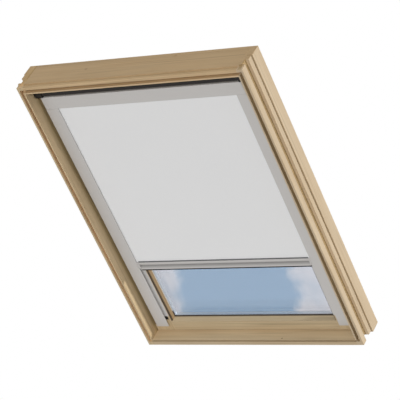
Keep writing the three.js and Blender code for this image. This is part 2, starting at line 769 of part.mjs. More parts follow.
// Side rails: a flat front flange, a channel for the fabric's edge and an inner lip
function makeRails() {
  const front = blindSetBack;
  const profile = [
    [0, 0],
    [flangeWidth, 0],
    [flangeWidth, railWall],
    [railWall, railWall],
    [railWall, railDepth - railWall],
    [channelWidth, railDepth - railWall],
    [channelWidth, railDepth - railWall - railLipRise],
    [railWidth, railDepth - railWall - railLipRise],
    [railWidth, railDepth],
    [0, railDepth],
  ];
  for (const side of [-1, 1]) {
    const sideName = side < 0 ? "left" : "right";
    const placed = profile.map(([across, depth]) => [side * (blindHalfWidth - across), front + depth]);
    const outline = side < 0 ? placed : placed.reverse();
    let rail = solidOf(prismUp(outline, flangeEnd, railTop));
    rail = rail.subtract(railFootCut(side, blindHalfWidth - flangeWidth, front - cutOverrun));
    const plugOuter = blindHalfWidth - railWidth + endPlugInset + endPlugWidth;
    rail = rail.subtract(railFootCut(side, plugOuter + endPlugGap, front + railWall));
    for (const [place, screwHeight] of Object.entries(railScrews)) {
      const at = [side * (blindHalfWidth - railScrewInset), screwHeight];
      const floor = front + railDepth - railWall;
      const shankEnd = floor + screwLength;
      rail = rail.subtract(solidOf(rod("y", screwHoleRadius, floor - cutOverrun, shankEnd, at)));
      const shank = solidOf(rod("y", screwShankRadius, floor - screwHeadHeight, shankEnd, at));
      const headBack = floor - seatGap;
      const head = solidOf(rod("y", screwHeadRadius, headBack - screwHeadHeight, headBack, at));
      addPiece(`rail_screw_${sideName}_${place}`, geometryOf(shank.add(head)), steel);
    }
    addPiece(`side_rail_${sideName}`, geometryOf(rail), aluminium);
    makeRailTrim(side, sideName);
  }
}

// The black stop under the foot of a rail's channel, behind the bar's path, and the seal beside the glass
function makeRailTrim(side, sideName) {
  const front = barBack + endPlugGap;
  const back = sashSetBack - seatGap;
  const inner = blindHalfWidth - railWidth + endPlugInset;
  const outer = inner + endPlugWidth;
  const plugTop = channelEnd - seatGap;
  const plugPlaces = [side * inner, side * outer].sort((a, b) => a - b);
  const plugLow = [plugPlaces[0], front, plugTop - endPlugHeight];
  const plug = block(plugLow, [plugPlaces[1], back, plugTop]);
  addPiece(`rail_end_plug_${sideName}`, plug, blackPlastic);
  const sealOuter = sightHalfWidth - seatGap;
  const sealPlaces = [side * sealOuter, side * (sealOuter - sealThickness)].sort((a, b) => a - b);
  const sealLow = [sealPlaces[0], blindBack + seatGap, sightBottom + sealEndGap];
  const sealHigh = [sealPlaces[1], blindBack + seatGap + sealDepth, cassetteBottom - sealEndGap];
  addPiece(`rail_seal_${sideName}`, block(sealLow, sealHigh), rubber);
}

// Section of the bottom bar, with a hollow grip along its front except at the end caps
function barOutline(withGrip) {
  const gripRadius = gripHeight ** 2 / (8 * gripDepth) + gripDepth / 2;
  const gripCentre = [barFront + gripDepth - gripRadius, barTop - barLandHeight - gripHeight / 2];
  const gripAngle = Math.asin(gripHeight / (2 * gripRadius));
  const grip = arc(gripCentre, gripRadius, -gripAngle, gripAngle);
  const edgeDepth = barFront + barEdgeRadius;
  const topEdge = arc([edgeDepth, barTop - barEdgeRadius], barEdgeRadius, Math.PI, Math.PI / 2);
  const lowEdge = arc([edgeDepth, barBottom + barEdgeRadius], barEdgeRadius, -Math.PI / 2, -Math.PI);
  const front = withGrip ? grip : [];
  return [[barBack, barTop], [barBack, barBottom], ...lowEdge, ...front, ...topEdge];
}

// Bottom bar with its clamp strip, seal and the end caps that run in the rails
function makeBottomBar() {
  const metalHalf = barHalfLength - barEndLength - seatGap;
  const metal = prismAcross(barOutline(true).reverse(), -metalHalf, metalHalf);
  addPiece("bottom_bar", metal, aluminium);
  const clampBack = fabricFront - seatGap;
  const clamp = block(
    [-metalHalf, clampBack - clampThickness, barTop],
    [metalHalf, clampBack, barTop + clampHeight],
  );
  addPiece("fabric_clamp", clamp, greyCover);
  const sealFront = (barFront + barBack - barSealThickness) / 2;
  const seal = block(
    [-metalHalf, sealFront, barBottom - barSealHeight],
    [metalHalf, sealFront + barSealThickness, barBottom],
  );
  addPiece("bar_seal", seal, rubber);
  for (const side of [-1, 1]) {
    const places = [side * (metalHalf + seatGap), side * barHalfLength].sort((a, b) => a - b);
    const cap = solidOf(prismAcross(barOutline(false).reverse(), places[0], places[1]));
    const runnerEnds = [side * (barHalfLength - barEndLength / 2), side * (barHalfLength + runnerLength)];
    runnerEnds.sort((a, b) => a - b);
    const runnerFront = blindSetBack + railWall + runnerSideGap;
    const runnerBack = blindSetBack + railDepth - railWall - runnerSideGap;
    const runner = block(
      [runnerEnds[0], runnerFront, barTop - runnerHeight],
      [runnerEnds[1], runnerBack, barTop],
    );
    const name = side < 0 ? "bar_end_left" : "bar_end_right";
    addPiece(name, geometryOf(cap.add(solidOf(runner))), greyPlastic);
  }
}

// The stretched fabric, from just above the bar to beside the roller
function makeFabric() {
  const low = [-fabricHalfWidth, fabricFront, barTop + seatGap];
  addPiece("blind_fabric", block(low, [fabricHalfWidth, fabricBack, rollerHeight]), blackout);
}

makeFrame();
makeSash();
makeGlazing();
makePivots();
makeCatch();
makeVentBar();
makeCassette();
makeRoller();
makeRails();
makeBottomBar();
makeFabric();

export default skylight;
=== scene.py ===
# A pine roof window with a blackout blind on its sash, dressed for its photograph.
# Metres, +Z up the slope, the room in front at -Y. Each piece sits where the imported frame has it.
import json
import math

import bmesh
import bpy
from mathutils import Matrix, Vector


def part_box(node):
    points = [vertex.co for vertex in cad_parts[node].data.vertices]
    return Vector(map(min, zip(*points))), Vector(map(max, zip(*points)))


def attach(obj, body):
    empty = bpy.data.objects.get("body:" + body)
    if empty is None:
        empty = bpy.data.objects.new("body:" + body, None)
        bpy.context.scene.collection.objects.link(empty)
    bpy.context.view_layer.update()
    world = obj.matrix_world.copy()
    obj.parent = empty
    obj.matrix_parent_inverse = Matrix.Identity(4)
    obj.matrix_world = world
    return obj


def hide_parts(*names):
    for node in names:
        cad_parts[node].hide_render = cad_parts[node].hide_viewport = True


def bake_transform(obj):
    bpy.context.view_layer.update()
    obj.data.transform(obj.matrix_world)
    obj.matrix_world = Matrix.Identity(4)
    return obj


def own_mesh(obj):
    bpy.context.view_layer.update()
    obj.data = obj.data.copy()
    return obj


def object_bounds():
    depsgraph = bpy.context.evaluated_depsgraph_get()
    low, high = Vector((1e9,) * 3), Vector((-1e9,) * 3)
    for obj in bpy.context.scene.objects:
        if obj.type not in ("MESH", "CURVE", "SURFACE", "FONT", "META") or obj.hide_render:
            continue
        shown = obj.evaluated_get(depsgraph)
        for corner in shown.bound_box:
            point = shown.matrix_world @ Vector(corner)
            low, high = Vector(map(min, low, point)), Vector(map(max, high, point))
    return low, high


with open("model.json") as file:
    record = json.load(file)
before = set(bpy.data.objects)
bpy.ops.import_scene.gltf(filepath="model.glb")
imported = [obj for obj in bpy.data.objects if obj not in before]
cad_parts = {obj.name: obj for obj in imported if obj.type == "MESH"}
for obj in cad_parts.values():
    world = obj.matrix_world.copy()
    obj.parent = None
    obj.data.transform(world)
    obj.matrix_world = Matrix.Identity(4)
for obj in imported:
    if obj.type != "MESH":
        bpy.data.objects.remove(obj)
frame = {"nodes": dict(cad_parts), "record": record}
cadLow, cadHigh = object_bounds()
cadNodes = frame["nodes"]
bodyOfNode = {
    node: body for body, members in frame["record"]["behaviour"]["bodies"].items() for node in members
}
mm = 0.001
print("frame loaded:", len(cadNodes), "pieces")


# Camera: where it stands is worked out from what it looks at, so the angles can be read and changed
cameraLook = {
    "aim": (0.02064, -0.03896, 0.52206),
    "distance": 5.558,
    "azimuth": 38.7354,
    "elevation": 31.8002,
    "roll": -25.4502,
    "focalPixels": 1986.77,
    "imagePixels": 400,
    "sensor": 36,
}


def placeCamera(look):
    azimuth, elevation = math.radians(look["azimuth"]), math.radians(look["elevation"])
    level = math.cos(elevation)
    back = Vector((math.sin(azimuth) * level, -math.cos(azimuth) * level, math.sin(elevation)))
    data = bpy.data.cameras.new("camera")
    data.sensor_width = look["sensor"]
    data.lens = look["focalPixels"] / look["imagePixels"] * look["sensor"]
    camera = bpy.data.objects.new("camera", data)
    bpy.context.scene.collection.objects.link(camera)
    turn = (-back).to_track_quat("-Z", "Y").to_matrix() @ Matrix.Rotation(math.radians(look["roll"]), 3, "Z")
    place = Vector(look["aim"]) + back * look["distance"]
    camera.matrix_world = Matrix.Translation(place) @ turn.to_4x4()
    bpy.context.scene.camera = camera


placeCamera(cameraLook)
print("camera placed")


# Shader sums: a Flow is a socket that can be added, multiplied and so on
class Flow:
    def __init__(self, paint, socket):
        self.paint = paint
        self.socket = socket

    def __add__(self, other):
        return self.paint.math("ADD", self, other)

    def __radd__(self, other):
        return self.paint.math("ADD", other, self)

    def __sub__(self, other):
        return self.paint.math("SUBTRACT", self, other)

    def __rsub__(self, other):
        return self.paint.math("SUBTRACT", other, self)

    def __mul__(self, other):
        return self.paint.math("MULTIPLY", self, other)

    def __rmul__(self, other):
        return self.paint.math("MULTIPLY", other, self)

    def __truediv__(self, other):
        return self.paint.math("DIVIDE", self, other)

    def __pow__(self, other):
        return self.paint.math("POWER", self, other)


class Paint:
    def __init__(self, tree):
        self.tree = tree
        tree.nodes.clear()

    # Any node: its settings first, then the values or links of its sockets
    def make(self, kind, settings=None, sockets=None, out=0):
        node = self.tree.nodes.new(kind)
        for name, value in (settings or {}).items():
            if name == "stops":
                self.fillRamp(node.color_ramp, value)
            else:
                setattr(node, name, value)
        for name, value in (sockets or {}).items():
            if isinstance(value, Flow):
                self.tree.links.new(value.socket, node.inputs[name])
            else:
                node.inputs[name].default_value = value
        return Flow(self, node.outputs[out]) if len(node.outputs) else None

    def fillRamp(self, ramp, stops):
        while len(ramp.elements) < len(stops):
            ramp.elements.new(1)
        for element, (place, shade) in zip(ramp.elements, stops):
            element.position = place
            element.color = (shade, shade, shade, 1)

    def math(self, operation, *values):
        return self.make("ShaderNodeMath", {"operation": operation}, dict(enumerate(values)))

    def smooth(self, value, low, high):
        settings = {"interpolation_type": "SMOOTHSTEP"}
        sockets = {"Value": value, "From Min": low, "From Max": high}
        return self.make("ShaderNodeMapRange", settings, sockets)

    # In the Mix node, inputs 6 and 7 and output 2 are the ones for colours
    def mixColour(self, share, first, second):
        return self.make("ShaderNodeMix", {"data_type": "RGBA"}, {0: share, 6: first, 7: second}, 2)

    def times(self, colour, other):
        return self.make("ShaderNodeVectorMath", {"operation": "MULTIPLY"}, {0: colour, 1: other})

    # Lightens or darkens a colour by a factor that varies about 1
    def shaded(self, colour, factor):
        plain = colour if isinstance(colour, Flow) else colour[:3]
        return self.times(plain, self.make("ShaderNodeCombineXYZ", None, {0: factor, 1: factor, 2: factor}))

    def place(self):
        point = self.make("ShaderNodeTexCoord", out="Object")
        parts = self.make("ShaderNodeSeparateXYZ", None, {0: point})
        return [Flow(self, parts.socket.node.outputs[axis]) for axis in range(3)]

    # A noise runs from 0 to 1 about a half. The larger its stretch along an axis, the finer it is that way.
    def noise(self, point, scale=1, detail=2, roughness=0.5, stretch=None):
        if stretch:
            point = [value * share for value, share in zip(point, stretch)]
        vector = self.make("ShaderNodeCombineXYZ", None, dict(enumerate(point)))
        sockets = {"Vector": vector, "Scale": scale, "Detail": detail, "Roughness": roughness}
        return self.make("ShaderNodeTexNoise", None, sockets)

    # How far a point is from a place, in shares of a reach along each axis
    def reach(self, point, place, reaches):
        total = 0
        for value, middle, size in zip(point, place, reaches):
            total = ((value - middle) / size) ** 2 + total
        return total**0.5

    def mixShader(self, share, first, second):
        return self.make("ShaderNodeMixShader", None, {0: share, 1: first, 2: second})

    def bump(self, height, depth, strength=1):
        return self.make("ShaderNodeBump", None, {"Height": height, "Distance": depth, "Strength": strength})

    def principled(self, sockets):
        return self.make("ShaderNodeBsdfPrincipled", None, sockets)

    def surface(self, shader):
        self.make("ShaderNodeOutputMaterial", None, {"Surface": shader})


def newPaint(name):
    material = bpy.data.materials.new(name)
    material.use_nodes = True
    return material, Paint(material.node_tree)


# A colour as it is read off a screen, turned into the light it stands for
def tint(red, green, blue):
    def linear(value):
        share = value / 255
        return share / 12.92 if share <= 0.04045 else ((share + 0.055) / 1.055) ** 2.4

    return (linear(red), linear(green), linear(blue), 1)


# Pine: growth rings about a heart beside the member, long fibres, a thin clear lacquer
pineLook = {
    "early": (0.600, 0.478, 0.300),
    "late": (0.440, 0.300, 0.150),
    "ringWidth": 3.8 * mm,
    "ringStops": [(0, 0.1), (0.35, 0.12), (0.7, 0.5), (0.88, 1), (0.97, 0.75), (1, 0.1)],
    "ringShare": 0.6,
    "patchEdge": (0.25, 0.75),
    "wander": 30 * mm,
    "waver": 3 * mm,
    "fibreShare": 0.13,
    "toneShare": 0.12,
    "streakShare": 0.16,
    "streakEdge": (0.56, 0.72),
    "knot": (0.200, 0.105, 0.045),
    "knotEdge": (0.5, 1.15),
    "knotReach": 4,
    "knotPush": 1.5,
    "roughness": 0.55,
    "roughnessSpread": 0.2,
    "shine": 0.12,
    "fibreRelief": 0.6,
    "ringRelief": 0.4,
    "relief": 0.05 * mm,
    "lacquer": 0.04,
    "lacquerRoughness": 0.35,
}
# Each noise in the wood is stretched along the grain, across it and through the depth
pineNoises = {
    "slow": {"stretch": (1.1, 4, 4), "scale": 1.6},
    "quick": {"stretch": (2.5, 30, 30), "scale": 2.2, "detail": 3},
    "patch": {"stretch": (1.5, 9, 9), "scale": 3},
    "fibre": {"stretch": (9, 900, 900), "detail": 3, "roughness": 0.6},
    "broad": {"stretch": (3, 60, 60), "scale": 1.4},
    "streak": {"stretch": (2.2, 230, 230), "roughness": 0.4},
}


# Painted shade deep in a recess and painted light along some edges: each has a reach and a hue
def paintLightAndShade(paint, colour, point, paintedLightAndShade):
    for row in paintedLightAndShade:
        soft = row["soft"]
        cover = 1
        for axis, (low, high) in row["reach"].items():
            value = point["xyz".index(axis)]
            if axis == "x":
                value = paint.math("ABSOLUTE", value)
            cover = paint.smooth(value, low - soft, low + soft) * cover
            cover = (1 - paint.smooth(value, high - soft, high + soft)) * cover
        colour = paint.times(colour, paint.mixColour(cover, (1, 1, 1, 1), (*row["hue"], 1)))
    return colour


def pineFinish(name, grain, heart, tone, knots=(), paintedLightAndShade=()):
    look = pineLook
    material, paint = newPaint(name)
    x, y, z = paint.place()
    along, across, deep = (x, y, z) if grain == "x" else (z, x, y)
    noise = {kind: paint.noise((along, across, deep), **numbers) for kind, numbers in pineNoises.items()}
    distance = ((across - heart[0]) ** 2 + (deep - heart[1]) ** 2) ** 0.5
    distance = distance + (noise["slow"] - 0.5) * look["wander"] + (noise["quick"] - 0.5) * look["waver"]
    mark = 0
    for knot in knots:
        size = knot["size"]
        reach = paint.reach((x, y, z), knot["at"], [size * share for share in knot["stretch"]])
        distance = distance + (1 - paint.smooth(reach, 0, look["knotReach"])) * (size * look["knotPush"])
        mark = (1 - paint.smooth(reach, *look["knotEdge"])) * knot["strength"] + mark
    rings = paint.math("FRACT", distance / look["ringWidth"])
    ring = paint.make("ShaderNodeValToRGB", {"stops": look["ringStops"]}, {0: rings})
    share = ring * look["ringShare"] * paint.smooth(noise["patch"], *look["patchEdge"])
    # The tone scales both woods, and so also paints the head darker and the sill paler as painted shade and
    # light
    early, late = [
        (*[value * part for value, part in zip(look[wood], tone)], 1) for wood in ("early", "late")
    ]
    fibre = noise["fibre"]
    shade = (fibre - 0.5) * (2 * look["fibreShare"]) + (noise["broad"] - 0.5) * (2 * look["toneShare"])
    shade = shade - paint.smooth(noise["streak"], *look["streakEdge"]) * look["streakShare"]
    colour = paint.shaded(paint.mixColour(share, early, late), shade + 1)
    # Painted light and shade from the member's rows
    colour = paintLightAndShade(paint, colour, (x, y, z), paintedLightAndShade)
    if knots:
        colour = paint.mixColour(mark, colour, (*look["knot"], 1))
    relief = fibre * look["fibreRelief"] + ring * look["ringRelief"]
    shader = paint.principled(
        {
            "Base Color": colour,
            "Roughness": (fibre - 0.5) * look["roughnessSpread"] + look["roughness"],
            "Specular IOR Level": look["shine"],
            "Normal": paint.bump(relief, look["relief"]),
            "Coat Weight": look["lacquer"],
            "Coat Roughness": look["lacquerRoughness"],
        }
    )
    paint.surface(shader)
    return material


# Anodised or coated aluminium, drawn in long fine lines
metalLook = {
    "stretch": {"x": (8, 700, 700), "z": (700, 700, 8)},
    "drawn": {"detail": 3, "roughness": 0.55},
    "drawnShare": 0.05,
    "cloud": {"stretch": (6, 6, 6)},
    "cloudShare": 0.04,
    "roughnessSpread": 0.12,
    "relief": 0.015 * mm,
}
railMetal = {"colour": tint(199, 196, 193), "metallic": 0.2, "roughness": 0.45}
coverMetal = {"colour": tint(92, 93, 95), "metallic": 0.35, "roughness": 0.45}


def drawnLines(paint, point, lines):
    return paint.noise(point, stretch=metalLook["stretch"][lines], **metalLook["drawn"])


def dressMetal(paint, metal, tone, drawn):
    shader = paint.principled(
        {
            "Base Color": paint.shaded(metal["colour"], tone),
            "Metallic": metal["metallic"],
            "Roughness": (drawn - 0.5) * metalLook["roughnessSpread"] + metal["roughness"],
            "Normal": paint.bump(drawn, metalLook["relief"]),
        }
    )
    paint.surface(shader)


def aluminiumFinish(name, metal, lines):
    material, paint = newPaint(name)
    point = paint.place()
    drawn = drawnLines(paint, point, lines)
    cloud = paint.noise(point, **metalLook["cloud"])
    tone = (drawn - 0.5) * metalLook["drawnShare"] + (cloud - 0.5) * metalLook["cloudShare"] + 1
    dressMetal(paint, metal, tone, drawn)
    return material


# Bright spacer bar with two rows of fine holes that lead to its drying agent
spacerLook = {
    "metal": tint(226, 228, 230),
    "hole": tint(60, 62, 64),
    "pitch": 5 * mm,
    "holeRadius": 0.55 * mm,
    "holeEdge": 0.8,
    "rowOffset": 2.4 * mm,
    "rolled": {"stretch": (30, 1500, 30)},
    "metallic": 0.5,
    "roughness": 0.35,
    "roughnessSpread": 0.1,
    "relief": 0.05 * mm,
}


def spacerFinish(name, look):
    low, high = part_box("spacer_frame")
    material, paint = newPaint(name)
    x, y, z = paint.place()
    along = paint.math("FRACT", (x + z) / look["pitch"]) - 0.5
    beside = paint.math("ABSOLUTE", y - (low.y + high.y) / 2) - look["rowOffset"]
    reach = ((along * look["pitch"]) ** 2 + beside**2) ** 0.5
    hole = 1 - paint.smooth(reach, look["holeRadius"] * look["holeEdge"], look["holeRadius"])
    rolled = paint.noise((x, y, z), **look["rolled"])
    shader = paint.principled(
        {
            "Base Color": paint.mixColour(hole, look["metal"], look["hole"]),
            "Metallic": (1 - hole) * look["metallic"],
            "Roughness": (rolled - 0.5) * look["roughnessSpread"] + look["roughness"],
            "Normal": paint.bump(rolled - hole, look["relief"]),
        }
    )
    paint.surface(shader)
    return material


# Zinc-plated steel with a faint mottle
steelLook = {
    "dark": tint(176, 178, 180),
    "bright": tint(196, 197, 196),
    "mottle": {"scale": 260, "detail": 3, "roughness": 0.6},
    "mottleEdge": (0.3, 0.7),
    "grain": {"scale": 1900},
    "roughness": 0.3,
    "roughnessSpread": 0.2,
    "relief": 0.02 * mm,
}


def steelFinish(name, look):
    material, paint = newPaint(name)
    point = paint.place()
    mottle = paint.noise(point, **look["mottle"])
    grain = paint.noise(point, **look["grain"])
    share = paint.smooth(mottle, *look["mottleEdge"])
    shader = paint.principled(
        {
            "Base Color": paint.mixColour(share, look["dark"], look["bright"]),
            "Metallic": 1,
            "Roughness": (mottle - 0.5) * look["roughnessSpread"] + look["roughness"],
            "Normal": paint.bump(grain, look["relief"]),
        }
    )
    paint.surface(shader)
    return material


# Moulded plastic or rubber with a fine spark-eroded texture
mouldedLook = {
    "grain": {"scale": 1500},
    "grainShare": 0.1,
    "cloud": {"scale": 40},
    "cloudShare": 0.12,
    "roughnessSpread": 0.15,
}
mouldings = {
    "black_plastic": {"colour": tint(33, 29, 26), "roughness": 0.55, "texture": 0.03 * mm, "shine": 0.25},
    "grey_plastic": {"colour": tint(196, 193, 190), "roughness": 0.5, "texture": 0.02 * mm, "shine": 0.5},
    "seal_rubber": {"colour": tint(19, 18, 19), "roughness": 0.75, "texture": 0.04 * mm, "shine": 0.3},
    "rail_rubber": {"colour": tint(66, 58, 48), "roughness": 0.75, "texture": 0.04 * mm, "shine": 0.3},
}


def mouldedFinish(name, colour, roughness, texture, shine):
    look = mouldedLook
    material, paint = newPaint(name)
    point = paint.place()
    grain = paint.noise(point, **look["grain"])
    cloud = paint.noise(point, **look["cloud"])
    tone = (cloud - 0.5) * look["cloudShare"] + (grain - 0.5) * look["grainShare"] + 1
    shader = paint.principled(
        {
            "Base Color": paint.shaded(colour, tone),
            "Roughness": (grain - 0.5) * look["roughnessSpread"] + roughness,
            "Specular IOR Level": shine,
            "Normal": paint.bump(grain, texture),
        }
    )
    paint.surface(shader)
    return material


# Glazing gasket: pale up the sides, and dark along its foot as painted shade
gasketLook = {
    "pale": tint(196, 193, 187),
    "foot": tint(70, 62, 54),
    "footTop": 80 * mm,
    "soft": 3 * mm,
    "roughness": 0.7,
    "shine": 0.3,
    "texture": 0.04 * mm,
}


def gasketFinish(name, look):
    material, paint = newPaint(name)
    x, y, z = paint.place()
    grain = paint.noise((x, y, z), **mouldedLook["grain"])
    # Painted shade along the gasket's foot
    paintedFootShade = 1 - paint.smooth(z, look["footTop"], look["footTop"] + look["soft"])
    colour = paint.mixColour(paintedFootShade, look["pale"], look["foot"])
    shader = paint.principled(
        {
            "Base Color": paint.shaded(colour, (grain - 0.5) * mouldedLook["grainShare"] + 1),
            "Roughness": (grain - 0.5) * mouldedLook["roughnessSpread"] + look["roughness"],
            "Specular IOR Level": look["shine"],
            "Normal": paint.bump(grain, look["texture"]),
        }
    )
    paint.surface(shader)
    return material


# Glass: blue-tinted panes that let most of the lamps' light through. The outer pane's strong blue and pale
# cloud along both ends are a painted sky reflection. A ray meets two faces of each pane, a tint is for one.
glassLook = {
    "inner": (0.860, 0.889, 0.922, 1),
    "outer": (0.586, 0.684, 0.778, 1),
    "pale": (0.890, 0.864, 0.868, 1),
    "lampShare": (0.98, 0.98, 0.98, 1),
    "shine": 0.04,
    "shinePower": 5,
    "smudge": {"scale": 9, "detail": 4, "roughness": 0.6},
    "smudgeEdge": (0.5, 0.8),
    "smudgeRoughness": 0.06,
    "roughness": 0.02,
    "cloudMiddle": -0.078,
    "cloudLean": 0.30,
    "cloudEdge": (0.172, 0.224),
    "cloudWander": 0.12,
    "drift": {"scale": 13, "detail": 3},
    "lump": {"scale": 11},
    "lumpShift": 3,
    "lumpEdge": (0.25, 0.7),
    "lumpShare": 0.3,
}


# How much of the painted sky reflection's pale cloud lies at a point of the outer pane
def paintedSkyCover(paint, point, look):
    x, y, z = point
    reach = paint.math("ABSOLUTE", x - z * look["cloudLean"] - look["cloudMiddle"])
    reach = reach + (paint.noise(point, **look["drift"]) - 0.5) * look["cloudWander"]
    lump = paint.smooth(paint.noise((x + look["lumpShift"], y, z), **look["lump"]), *look["lumpEdge"])
    return paint.smooth(reach, *look["cloudEdge"]) * (lump * look["lumpShare"] + (1 - look["lumpShare"]))


def glassFinish(name, look, paintedSky):
    material, paint = newPaint(name)
    point = paint.place()
    # The outer pane's strong blue is part of the painted sky reflection
    body = paint.make("ShaderNodeBsdfTransparent", None, {"Color": look["outer" if paintedSky else "inner"]})
    if paintedSky:
        pale = paint.make("ShaderNodeBsdfTransparent", None, {"Color": look["pale"]})
        body = paint.mixShader(paintedSkyCover(paint, point, look), body, pale)
    smudge = paint.smooth(paint.noise(point, **look["smudge"]), *look["smudgeEdge"])
    roughness = smudge * look["smudgeRoughness"] + look["roughness"]
    gloss = paint.principled({"Base Color": (1, 1, 1, 1), "Metallic": 1, "Roughness": roughness})
    facing = paint.make("ShaderNodeLayerWeight", None, {"Blend": 0.5}, "Facing")
    shine = facing ** look["shinePower"] * (1 - look["shine"]) + look["shine"]
    forLamps = paint.make("ShaderNodeBsdfTransparent", None, {"Color": look["lampShare"]})
    fromLamp = paint.make("ShaderNodeLightPath", out="Is Shadow Ray")
    paint.surface(paint.mixShader(fromLamp, paint.mixShader(shine, body, gloss), forLamps))
    return material


# Blackout cloth: a close plain weave with faint slubs
fabricLook = {
    "thread": tint(239, 239, 239),
    "pitch": 0.42 * mm,
    "weaveMiddle": 0.6,
    "weaveShare": 0.03,
    "slubs": ({"stretch": (60, 1, 900)}, {"stretch": (900, 1, 60)}),
    "slubShare": 0.05,
    "cloud": {"scale": 7},
    "cloudShare": 0.02,
    "roughness": 0.85,
    "sheen": 0.1,
    "sheenRoughness": 0.5,
    "shine": 0.25,
    "relief": 0.05 * mm,
    "reliefStrength": 0.4,
}


def fabricFinish(name, look):
    material, paint = newPaint(name)
    point = paint.place()
    u, v = point[0] / look["pitch"], point[2] / look["pitch"]
    warp, weft = [paint.math("ABSOLUTE", paint.math("SINE", way * math.pi)) for way in (u, v)]
    step = paint.math("FRACT", (paint.math("FLOOR", u) + paint.math("FLOOR", v)) * 0.5) * 2
    weave = warp * (1 - step) + weft * step
    across, along = [paint.noise(point, **numbers) for numbers in look["slubs"]]
    slub = across * 0.5 + along * 0.5
    cloud = paint.noise(point, **look["cloud"])
    tone = (weave - look["weaveMiddle"]) * look["weaveShare"] + (slub - 0.5) * look["slubShare"]
    tone = tone + (cloud - 0.5) * look["cloudShare"] + 1
    shader = paint.principled(
        {
            "Base Color": paint.shaded(look["thread"], tone),
            "Roughness": look["roughness"],
            "Sheen Weight": look["sheen"],
            "Sheen Roughness": look["sheenRoughness"],
            "Specular IOR Level": look["shine"],
            "Normal": paint.bump(weave + slub * 0.5, look["relief"], look["reliefStrength"]),
        }
    )
    paint.surface(shader)
    return material


# Arrises, with angles in degrees: faces that lie flat together are joined and sharper edges are rounded
arrisLook = {"weld": 0.002 * mm, "flat": 0.5, "sharp": 30, "segments": 2}


def roundArrises(piece, radius, segments, sharp):
    bevel = piece.modifiers.new("arrises", "BEVEL")
    bevel.width = radius
    bevel.segments = segments
    bevel.limit_method = "ANGLE"
    bevel.angle_limit = math.radians(sharp)
    bevel.harden_normals = True
    return bevel


# A copy of a CAD piece, in its own finish and with rounded arrises
def softened(node, ending, finish, radius):
    look = arrisLook
    mesh = cadNodes[node].data.copy()
    shape = bmesh.new()
    shape.from_mesh(mesh)
    bmesh.ops.remove_doubles(shape, verts=shape.verts, dist=look["weld"])
    bmesh.ops.dissolve_limit(
        shape,
        angle_limit=math.radians(look["flat"]),
        use_dissolve_boundaries=False,
        verts=shape.verts,
        edges=shape.edges,
    )
    for face in shape.faces:
        face.smooth = True
    shape.to_mesh(mesh)
    shape.free()
    mesh.materials.clear()
    mesh.materials.append(finish)
    piece = bpy.data.objects.new(f"{node}_{ending}", mesh)
    bpy.context.scene.collection.objects.link(piece)
    bevel = roundArrises(piece, radius, look["segments"], look["sharp"])
    bevel.miter_outer = "MITER_ARC"
    mesh.set_sharp_from_angle(angle=math.radians(look["sharp"]))
    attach(piece, bodyOfNode[node])
    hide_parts(node)


# A patch of painted light and shade: its softness and reach in millimetres, with x the same on both sides
def paintedLightOnWood(hue, soft, **reach):
    spans = {axis: (low * mm, high * mm) for axis, (low, high) in reach.items()}
    return {"hue": hue, "soft": soft * mm, "reach": spans}


# Places for the painted light and shade, in millimetres, and a length that reaches past the whole window
railLow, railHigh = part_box("side_rail_right")
stileLow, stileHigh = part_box("sash_right")
sightEdge, railEdge, railFoot = railLow.x / mm, railHigh.x / mm, railLow.z / mm
sashFront, sashTop = stileLow.y / mm, stileHigh.z / mm
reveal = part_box("frame_right")[0].x / mm
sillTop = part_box("frame_bottom")[1].z / mm
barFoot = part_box("bottom_bar")[0].z / mm
room, outside, headTop = cadLow.y / mm, cadHigh.x / mm, cadHigh.z / mm
beyond = 1000

# Painted shade on the stiles: beside the rail, towards the glass, and more on a strip just behind the front
stilePaintedShade = [
    paintedLightOnWood((0.28, 0.24, 0.16), 0.5, x=(railEdge + 0.2, beyond), z=(railFoot - 1, sashTop - 13.5)),
    paintedLightOnWood((0.60, 0.53, 0.46), 0.4, x=(0, sightEdge), y=(sashFront + 0.6, beyond)),
    paintedLightOnWood((0.45, 0.40, 0.38), 1.5, x=(0, sightEdge), y=(sashFront + 1.8, sashFront + 10)),
]
# The top ends of the side members: darker as end grain and as painted shade on their upward face
endGrainAndShade = paintedLightOnWood((0.89, 0.80, 0.66), 0.2, z=(headTop - 0.6, beyond))
grooveReach = {"x": (reveal + 3.6, reveal + 13.8), "y": (room + 1.4, room + 21)}
revealReach = (reveal - 1, reveal + 1)
# Left member: its end, painted light in the groove and along the reveal's front, two painted shades deeper
# in
leftPaintedLight = [
    endGrainAndShade,
    paintedLightOnWood((1.12, 1.02, 0.96), 0.3, **grooveReach),
    paintedLightOnWood((1.22, 1.20, 1.23), 9, x=revealReach, y=(room - 4, room + 19), z=(barFoot - 15, beyond)),
    paintedLightOnWood((0.92, 0.88, 0.64), 7, x=revealReach, y=(room + 31, beyond)),
    paintedLightOnWood((0.37, 0.31, 0.22), 5, x=revealReach, y=(room + 38, beyond)),
]
# The right member: its end, and painted shade in its groove and in the recess and kerf along its outer side
rightPaintedShade = [
    endGrainAndShade,
    paintedLightOnWood((0.74, 0.68, 0.56), 0.3, **grooveReach),
    paintedLightOnWood((0.73, 0.66, 0.50), 1, x=(outside - 15, outside - 11.6), y=(room + 17, room + 42.5)),
    paintedLightOnWood((0.78, 0.74, 0.66), 0.3, x=(outside - 15, outside - 0.5), y=(room + 57.4, room + 61.4)),
]
# The head: painted light on its front above the groove and below it, and on the lip under the groove
headPaintedLight = [
    paintedLightOnWood((1.18, 1.20, 1.24), 1, y=(-beyond, room + 2.5), z=(headTop - 13, beyond)),
    paintedLightOnWood((1.30, 1.36, 1.48), 1, y=(-beyond, room + 2.5), z=(0, headTop - 19)),
    paintedLightOnWood((1.14, 1.13, 1.12), 1, y=(room + 2.5, room + 15), z=(headTop - 25, headTop - 10)),
]
